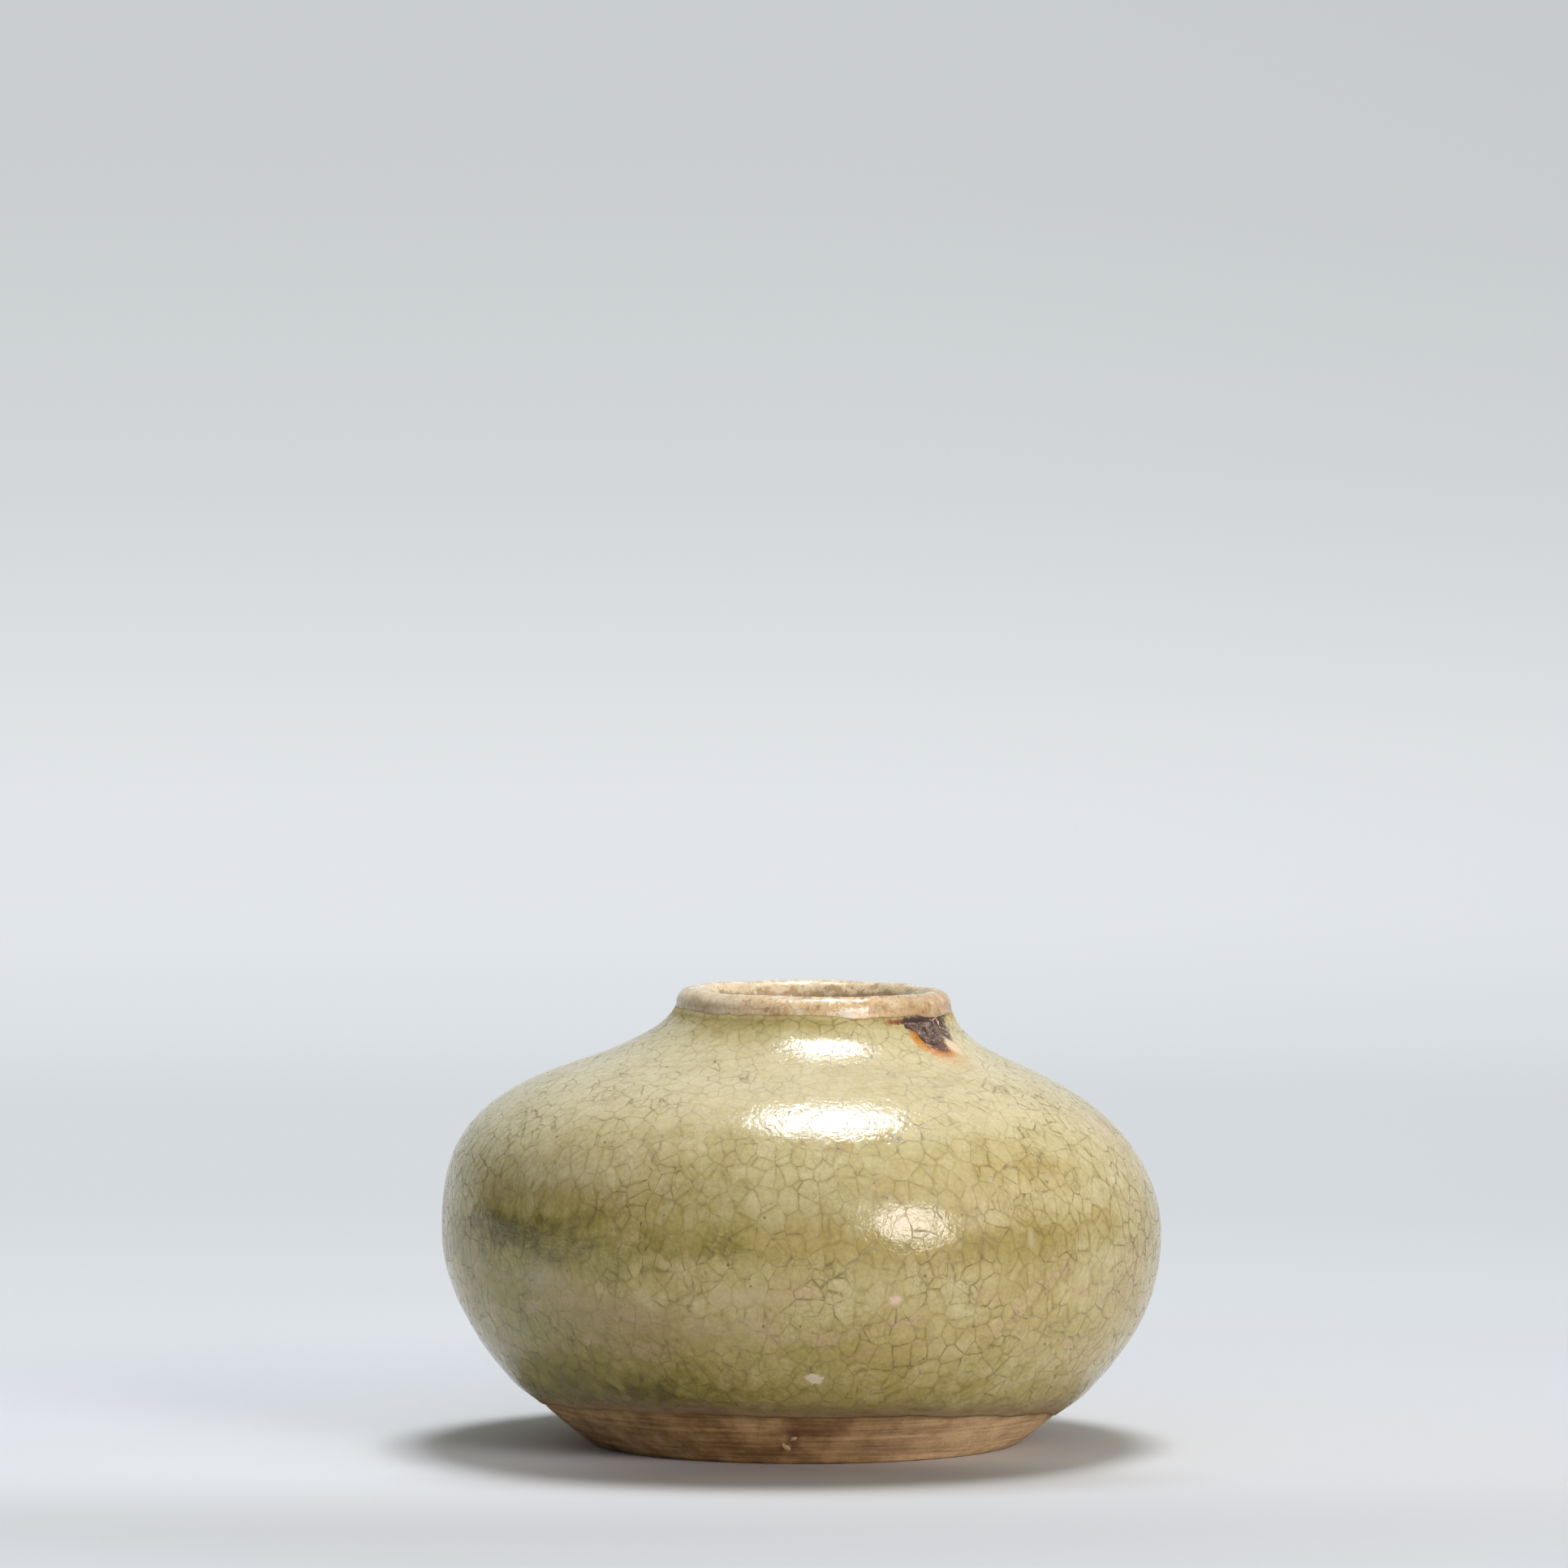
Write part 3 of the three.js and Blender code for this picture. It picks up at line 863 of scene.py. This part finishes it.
# marks on the outside glaze: pits, specks and worn places, each where it lies on the jar,
# with its centre, radius, stretch, colour, softness, raggedness and strength
glazeMarks = [
    ((1.3, -35.6, 10.5), 0.8, (1.1, 1, 0.8), (0.78, 0.66, 0.48), 0.2, 0.5, 1.0),
    ((10.0, -38.4, 19.3), 0.6, (1, 1, 1), (0.76, 0.57, 0.42), 0.5, 0.5, 1.0),
    ((-8.4, -39.1, 25.3), 1.0, (1, 1, 1), (0.2, 0.13, 0.035), 0.8, 1.3, 0.5),
    ((33.2, -9.2, 35.3), 2.8, (0.8, 0.7, 1.2), (0.72, 0.56, 0.34), 0.8, 0.6, 0.6),
    ((27.6, -25.6, 31.9), 1.5, (1.0, 1.0, 0.16), (0.50, 0.30, 0.18), 0.7, 0.5, 0.5),
    ((24.8, -31.2, 25.5), 0.9, (0.4, 0.4, 1.0), (0.62, 0.58, 0.42), 0.7, 0.5, 0.5),
    ((-6.4, -39.2, 19.6), 2.2, (1.5, 1, 0.5), (0.58, 0.46, 0.28), 0.8, 0.25, 0.4),
    ((-25.3, -29.7, 17.8), 3.4, (1.3, 1.3, 0.7), (0.46, 0.33, 0.16), 0.8, 0.25, 0.4),
    ((-19.5, -34.0, 16.6), 3.4, (1.5, 1.5, 0.6), (0.40, 0.28, 0.12), 0.8, 0.25, 0.45),
    ((-27, -26.5, 21.0), 2.6, (1.3, 1.3, 0.6), (0.56, 0.48, 0.32), 0.8, 0.25, 0.45),
    ((-10, -36.5, 15.5), 3.4, (1.6, 1.6, 0.5), (0.46, 0.34, 0.16), 0.8, 0.25, 0.35),
    ((-25, 30, 18.5), 4, (1.5, 1.5, 0.6), (0.55, 0.39, 0.24), 0.8, 0.25, 0.5),
    ((30, 25, 16.0), 3.4, (1.5, 1.5, 0.6), (0.5, 0.34, 0.19), 0.8, 0.25, 0.45),
]

halo = {
    "centre": (13.45, -10.45, 46.0),
    "right": (0.629, 0.777, 0),
    "out": (0.777, -0.629, 0),
    # the stain that bled out of the iron slag, as patches round it: place across and up from the
    # centre, half width and half height, colour, softness and strength
    "patches": [
        ((0.5, -2.0), (2.7, 1.4), (0.66, 0.42, 0.17), 0.6, 0.7),
        ((-1.9, -0.5), (1.0, 1.2), (0.62, 0.25, 0.03), 0.5, 0.95),
        ((0.3, -1.75), (2.0, 0.55), (0.60, 0.22, 0.03), 0.5, 0.9),
        ((-3.7, 1.55), (1.5, 0.32), (0.30, 0.09, 0.02), 0.6, 0.9),
        ((0.9, 1.55), (4.3, 0.6), (0.04, 0.012, 0.006), 0.35, 0.98),
        ((3.3, 0.5), (1.2, 1.7), (0.055, 0.014, 0.006), 0.45, 0.95),
        ((0.5, -0.3), (2.1, 1.5), (0.10, 0.025, 0.008), 0.25, 0.95),
        ((2.9, -1.35), (0.9, 0.75), (0.86, 0.66, 0.42), 0.35, 0.9),
    ],
    "vein": (0.80, 0.60, 0.38),
    "veinsAt": (2.5, 0.3, 0),
    "veinsShape": (1.7, 2.0, 1),
}


def addHalo(point, rough, colour):
    away = vectorMaths("SUBTRACT", point, halo["centre"])
    across = vectorMaths("DOT_PRODUCT", away, halo["right"])["Value"]
    outward = vectorMaths("DOT_PRODUCT", away, halo["out"])["Value"]
    near = rise(outward, -5.0, -3.0)
    flat = put(point.tree, "CombineXYZ", None, {0: across, 1: parted(away)["Z"], 2: 0.0})
    for (x, y), (wide, high), tint, soft, strength in halo["patches"]:
        mask = spotAt(flat, rough, (x, y, 0), (wide, high, 1), soft, 0.3)
        colour = mixed(mask * near * strength, colour, tint)
    # pale veins where the stained glaze has cracked
    edge = shards(point, 1.2, "DISTANCE_TO_EDGE")["Distance"]
    veins = rise(edge, 0.09, 0.02) * rise(rough, 0.4, 0.6)
    where = spotAt(flat, rough, halo["veinsAt"], halo["veinsShape"], 0.4, 0.3)
    return mixed(veins * where * 0.85, colour, halo["vein"])


lip = {
    "buff": (0.80, 0.57, 0.30),
    "brown": (0.42, 0.25, 0.115),
    "dark": (0.22, 0.12, 0.055),
    "pale": (0.92, 0.78, 0.53),
    "grey": (0.82, 0.69, 0.48),
    "cream": (0.93, 0.83, 0.63),
    "inside": (0.86, 0.73, 0.48),
    # centre and radius of the places worn to cream
    "worn": [((5.2, -14.8, 48.6), 0.9), ((6.9, -14.2, 48.9), 0.5)],
    "wornShape": (1.1, 1.0, 0.9),
}


def makeLipMaterial():
    material, tree, shader = newMaterial("thinBrownGlaze", 0.3, 0.5)
    point, bent, _ = placesOn(tree, 0.9, 2.0)
    over = keptMeasure(tree, "overLip")
    coarse = speckle(bent, 1.6, 4.0, 0.62)
    grain = speckle(point, 0.42, 3.0, 0.6)
    colour = ramp(coarse * 0.72 + grain * 0.28,
                  [(0.39, lip["brown"]), (0.47, lip["buff"]), (0.52, lip["buff"]), (0.59, lip["pale"])])
    # paler and greyer on one side, browner on the other
    across = parted(point)["X"]
    greyed = rise(across, 6.0, -12.0) * 0.5 + rise(speckle(point, 6), 0.5, 0.68) * 0.4
    colour = mixed(greyed, colour, lip["grey"])
    colour = mixed(rise(across, 4.0, 14.0) * 0.45, colour, lip["brown"])
    # the paler glaze of the inside comes up to the mouth, past a brown band that is partly the glaze's own
    # colour and partly painted shade where the rim shades the throat
    inside = rise(over + (coarse - 0.5) * 1.2, 2.2, 2.6)
    colour = mixed(inside * 0.8, colour, lip["inside"])
    band = rise(over + (coarse - 0.5) * 1.8, 2.55, 2.8) * rise(over, 4.0, 3.2)
    colour = mixed(band * 0.7, colour, lip["brown"])
    crack = use(tree, crackle, {"Point": bent, "Shard": 1.8, "Crack": 0.12})
    colour = mixed(crack["Cracks"] * 0.3, colour, lip["dark"])
    specks = rise(speckle(point, 0.5, 3.0, 0.6), 0.6, 0.7)
    colour = mixed(specks * 0.4, colour, lip["dark"])
    # the top edge turns pale cream in broken patches
    edge = rise(over, 1.72, 1.95) * rise(over, 2.4, 2.12) * rise(speckle(point, 1.3, 4.0, 0.6), 0.46, 0.56)
    colour = mixed(edge * 0.85, colour, lip["cream"])
    for centre, radius in lip["worn"]:
        worn = spotAt(point, grain, centre, lip["wornShape"], 0.25, 1.5, radius)
        colour = mixed(worn, colour, lip["cream"])
    relief = speckle(point, 1.1, 3.0) * 0.09 + grain * 0.035
    wire(shader, {"Base Color": colour, "Roughness": 0.1 + grain * 0.3, "Normal": bumped(relief)})
    return material


stoneware = {
    "dark": (0.29, 0.16, 0.063),
    "mid": (0.53, 0.32, 0.14),
    "light": (0.73, 0.485, 0.235),
    "flash": (0.30, 0.165, 0.07),
    "speck": (0.11, 0.06, 0.03),
    # where the fire left the foot paler or darker, and painted shade at its left: centre, half widths, dark
    # and light tone, strength
    "patches": [
        ((21, -19, 2), (15, 15, 5), (0.54, 0.355, 0.185), (0.91, 0.685, 0.4), 0.9),
        # painted shade: the dark patch at the left of the foot, the side away from the lamps
        ((-21, -16, 2), (9, 9, 4), (0.2, 0.115, 0.055), (0.44, 0.28, 0.14), 0.6),
        ((-4, -25, 2), (7, 7, 3), (0.29, 0.155, 0.06), (0.62, 0.37, 0.165), 0.6),
        ((0.8, -28.2, 4.4), (3.6, 3.6, 1.1), (0.2, 0.1, 0.04), (0.34, 0.19, 0.085), 0.7),
        ((-0.9, -27.2, 3.4), (0.6, 1.5, 1.8), (0.12, 0.06, 0.025), (0.2, 0.11, 0.05), 0.8),
        ((-8, 24, 2), (13, 13, 5), (0.42, 0.28, 0.15), (0.68, 0.5, 0.3), 0.7),
    ],
}


def makeClayMaterial():
    material, tree, shader = newMaterial("stoneware", 0.85, 0.3)
    point, bent, _ = placesOn(tree, 0.2, 6.0)
    parts = parted(bent)
    flat = put(tree, "CombineXYZ", None, {0: parts["X"], 1: parts["Y"]})
    # lines left by the turning tool run round the foot
    ring = put(tree, "CombineXYZ", None, {2: parts["Z"] + lengthOf(flat) * 0.6})
    lines = speckle(vectorMaths("ADD", stretched(flat, 0.05, 0.05, 0), ring), 0.55, 3.0, 0.6)
    clouds = speckle(point, 3.4, 5.0, 0.68)
    tone = lines * 0.42 + clouds * 0.58
    colour = ramp(tone, [(0.39, stoneware["dark"]), (0.5, stoneware["mid"]), (0.61, stoneware["light"])])
    for centre, shape, dark, light, strength in stoneware["patches"]:
        mask = spotAt(point, clouds, centre, shape, 0.9, 0.4)
        colour = mixed(mask * strength, colour, mixed(rise(tone, 0.36, 0.64), dark, light))
    # a darker flash along the glaze
    below = keptMeasure(tree, "belowGlaze") + (speckle(point, 1.5) - 0.5) * 1.2
    colour = mixed(rise(below, 1.2, 0.0) * 0.3, colour, stoneware["flash"])
    specks = rise(speckle(point, 0.45), 0.68, 0.76)
    colour = mixed(specks * 0.5, colour, stoneware["speck"])
    relief = lines * 0.13 + speckle(point, 0.4, 3.0) * 0.07
    wire(shader, {"Base Color": colour, "Normal": bumped(relief)})
    return material


slag = {
    "tones": [(0.34, (0.03, 0.014, 0.008)), (0.5, (0.13, 0.08, 0.055)), (0.66, (0.32, 0.235, 0.18))],
    "blister": (0.55, 0.45, 0.36),
}


def makeSlagMaterial():
    material, tree, shader = newMaterial("ironSlag", 0.5, 0.4)
    point, bent, _ = placesOn(tree, 0.3, 1.0)
    colour = ramp(speckle(bent, 0.7, 4.0, 0.65), slag["tones"])
    blisters = rise(speckle(point, 0.22), 0.6, 0.68)
    colour = mixed(blisters * 0.6, colour, slag["blister"])
    wire(shader, {"Base Color": colour, "Normal": bumped(speckle(bent, 0.45, 4.0, 0.6) * 0.14)})
    return material


gritTones = [(0.3, (0.30, 0.19, 0.10)), (0.6, (0.60, 0.44, 0.27))]


def makeGritMaterial():
    material, tree, shader = newMaterial("kilnGrit", 0.8, 0.4)
    point, bent, _ = placesOn(tree, 0.2, 1.0)
    colour = ramp(speckle(bent, 0.35, 3.0), gritTones)
    wire(shader, {"Base Color": colour, "Normal": bumped(speckle(point, 0.2, 3.0) * 0.06)})
    return material


looks = {
    "outsideGlaze": makeCeladon("celadonGlaze", glazeMarks),
    "insideGlaze": makeCeladon("insideCeladon"),
    "lipGlaze": makeLipMaterial(),
    "clayBody": makeClayMaterial(),
    "ironSlagBead": makeSlagMaterial(),
}
gritLook = makeGritMaterial()
print("materials made")


for piece, node, slotName in [
    (clayBody, "clay_body", "stoneware"),
    (outsideGlaze, "outside_glaze", "celadon_glaze"),
    (lipGlaze, "lip_glaze", "thin_brown_glaze"),
    (insideGlaze, "inside_glaze", "inside_celadon_glaze"),
    (ironSlagBead, "iron_slag_bead", "iron_slag"),
    (kilnGrit[0], "kiln_grit_1", "kiln_grit"),
    (kilnGrit[1], "kiln_grit_2", "kiln_grit"),
]:
    piece.data.materials.append(looks.get(piece.name, gritLook))
    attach(piece, "root")
    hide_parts(node)


# the camera, the sweep and its colours, in metres
stage = {
    "cameraHeight": 0.130,
    "cameraDistance": 1.160,
    "cameraSide": -0.00194,
    "cameraPitch": 2.808,
    "lens": 240.2,
    "floorFront": -0.9,
    "floorBack": 0.66,
    "sweepRadius": 0.25,
    "wallTop": 1.4,
    "halfWidth": 1.2,
    "floorColour": (0.665, 0.68, 0.70),
    # painted light at the left of the floor and painted shade in front of it
    "floorLeft": (0.765, 0.785, 0.81),
    "floorNear": (0.61, 0.62, 0.63),
    # the lamps leave the shade in front of the foot too light, so a shadow is painted on the floor there
    "floorShade": (0.40, 0.37, 0.345),
    "shadeCentre": (0, -0.037, 0),
    "shadeShape": (0.03, 0.014, 1),
    # the floor turns into the backdrop between these distances from the jar
    "nearFloor": 0.08,
    "farFloor": 0.17,
    # the painted glow of the backdrop, which the camera and reflections see, by its height in millimetres
    "backdrop": [(0, (0.725, 0.757, 0.787)), (2, (0.735, 0.766, 0.793)), (7, (0.752, 0.783, 0.812)),
                 (13, (0.763, 0.794, 0.824)), (22, (0.765, 0.794, 0.824)), (31, (0.758, 0.788, 0.816)),
                 (43, (0.742, 0.772, 0.798)), (67, (0.70, 0.722, 0.74)), (92, (0.65, 0.672, 0.687)),
                 (118, (0.62, 0.65, 0.66)), (143, (0.597, 0.623, 0.634)), (182, (0.584, 0.61, 0.622))],
    "backdropHeight": 200,
}

cameraData = bpy.data.cameras.new("camera")
cameraData.lens = stage["lens"]
cameraData.sensor_width = 36
cameraData.clip_start, cameraData.clip_end = 0.05, 20
camera = bpy.data.objects.new("camera", cameraData)
camera.location = (stage["cameraSide"], -stage["cameraDistance"], stage["cameraHeight"])
camera.rotation_euler = (radians(90 - stage["cameraPitch"]), 0, 0)
scene.collection.objects.link(camera)
scene.camera = camera


def ofKind(kind, geometry):
    return [part for part in geometry if isinstance(part, kind)]


def makeSweep():
    # an edge drawn back along the floor, round the bend and up the wall
    vertex, line = bmesh.types.BMVert, bmesh.types.BMEdge
    bm = bmesh.new()
    ends = [bm.verts.new((x, stage["floorFront"], 0)) for x in (-stage["halfWidth"], stage["halfWidth"])]
    floor = bmesh.ops.extrude_edge_only(bm, edges=[bm.edges.new(ends)])["geom"]
    back = ofKind(vertex, floor)
    bmesh.ops.translate(bm, verts=back, vec=(0, stage["floorBack"] - stage["floorFront"], 0))
    bend = bmesh.ops.spin(bm, geom=back + ofKind(line, floor), axis=(1, 0, 0), angle=pi / 2, steps=32,
                          cent=(0, stage["floorBack"], stage["sweepRadius"]))["geom_last"]
    wall = bmesh.ops.extrude_edge_only(bm, edges=ofKind(line, bend))["geom"]
    bmesh.ops.translate(bm, verts=ofKind(vertex, wall), vec=(0, 0, stage["wallTop"] - stage["sweepRadius"]))
    bmesh.ops.remove_doubles(bm, verts=bm.verts, dist=1e-6)
    return finishPiece("sweep", bm)


def makeSweepMaterial():
    material, tree, shader = newMaterial("paleSweep", 0.9, 0.1)
    place = put(tree, "TexCoord")["Object"]
    parts = parted(place)
    x, y, z = parts["X"], parts["Y"], parts["Z"]
    # painted light makes the floor a shade lighter at the left, against the lamps' soft shadow there, and
    # painted shade makes it darker in front
    floor = mixed(rise(x, 0.02, -0.06), stage["floorColour"], stage["floorLeft"])
    floor = mixed(rise(y, -0.03, -0.09), floor, stage["floorNear"])
    # the painted shadow in front of the foot
    shade = spotAt(place, 0.5, stage["shadeCentre"], stage["shadeShape"], 0.6, 0.3)
    floor = mixed(shade * 0.9, floor, stage["floorShade"])
    wire(shader, {"Base Color": floor})
    top = stage["backdropHeight"]
    colour = ramp(z / (top * mm), [(h / top, tint) for h, tint in stage["backdrop"]])
    # the glow is painted a shade darker to the right and across the middle of the floor
    sideways = rise(x, 0.0, 0.2) * 0.03
    middle = rise(y, 0.12, 0.32) * rise(y, 0.66, 0.46) * 0.07
    glow = put(tree, "Emission", None, {"Color": mixed(sideways + middle, colour, (0, 0, 0))})
    far = rise(lengthOf(place), stage["nearFloor"], stage["farFloor"])
    path = put(tree, "LightPath")
    seen = maths("ADD", path["Is Camera Ray"], path["Is Glossy Ray"], clamp=True)
    seen = maths("ADD", seen, path["Is Transmission Ray"], clamp=True)
    blend = put(tree, "MixShader", None, {0: far * seen, 1: Output(shader), 2: glow})
    wire(tree.nodes["Material Output"], {"Surface": blend})
    return material


sweep = makeSweep()
sweep.data.materials.append(makeSweepMaterial())

lamps = [
    {"name": "overhead", "at": (0.085, 0.19, 0.82), "size": (0.29, 0.33), "power": 7.5,
     "colour": (0.98, 1.0, 1.03), "edge": 0.4},
    {"name": "warmRight", "at": (0.44, -0.61, 0.27), "size": (0.33, 0.33), "power": 4.2,
     "colour": (1.0, 0.905, 0.88), "edge": 0.35},
    {"name": "wideRight", "at": (0.95, -0.55, 0.55), "size": (0.9, 0.7), "power": 3.0,
     "colour": (1.0, 0.95, 0.88), "edge": 0.6},
]
lampReach = 0.56
lampTarget = Vector((0, 0, 0.025))

for lamp in lamps:
    light = bpy.data.lights.new(lamp["name"], "AREA")
    light.shape = "RECTANGLE"
    light.size, light.size_y = lamp["size"]
    light.energy = lamp["power"]
    light.color = lamp["colour"]
    # a softbox is dimmer towards its edges
    light.use_nodes = True
    nodes = light.node_tree.nodes
    across = vectorMaths("SUBTRACT", put(light.node_tree, "NewGeometry")["Parametric"], (0.5, 0.5, 0))
    wire(nodes["Emission"], {"Strength": rise(lengthOf(across), lampReach, lampReach * (1 - lamp["edge"]))})
    holder = bpy.data.objects.new(lamp["name"], light)
    holder.location = lamp["at"]
    holder.rotation_euler = (lampTarget - Vector(lamp["at"])).to_track_quat("-Z", "Y").to_euler()
    scene.collection.objects.link(holder)

# the room is dim near the floor and brighter above
room = {"colour": (0.93, 0.96, 1.0), "low": 0.11, "higher": 0.24}
world = bpy.data.worlds.new("room")
world.use_nodes = True
tree = world.node_tree
facing = parted(put(tree, "TexCoord")["Generated"])["Z"]
background = tree.nodes["Background"]
strength = room["low"] + rise(facing, 0.0, 1.0) * room["higher"]
wire(background, {"Color": room["colour"], "Strength": strength})
# past the ends of the sweep the camera sees the sweep's own pale colour
pale = put(tree, "Background", None, {"Color": stage["backdrop"][0][1]})
seen = put(tree, "LightPath")["Is Camera Ray"]
blend = put(tree, "MixShader", None, {0: seen, 1: Output(background), 2: pale})
wire(tree.nodes["World Output"], {"Surface": blend})
scene.world = world
scene.view_settings.view_transform = "Standard"
print("stage and lights made")
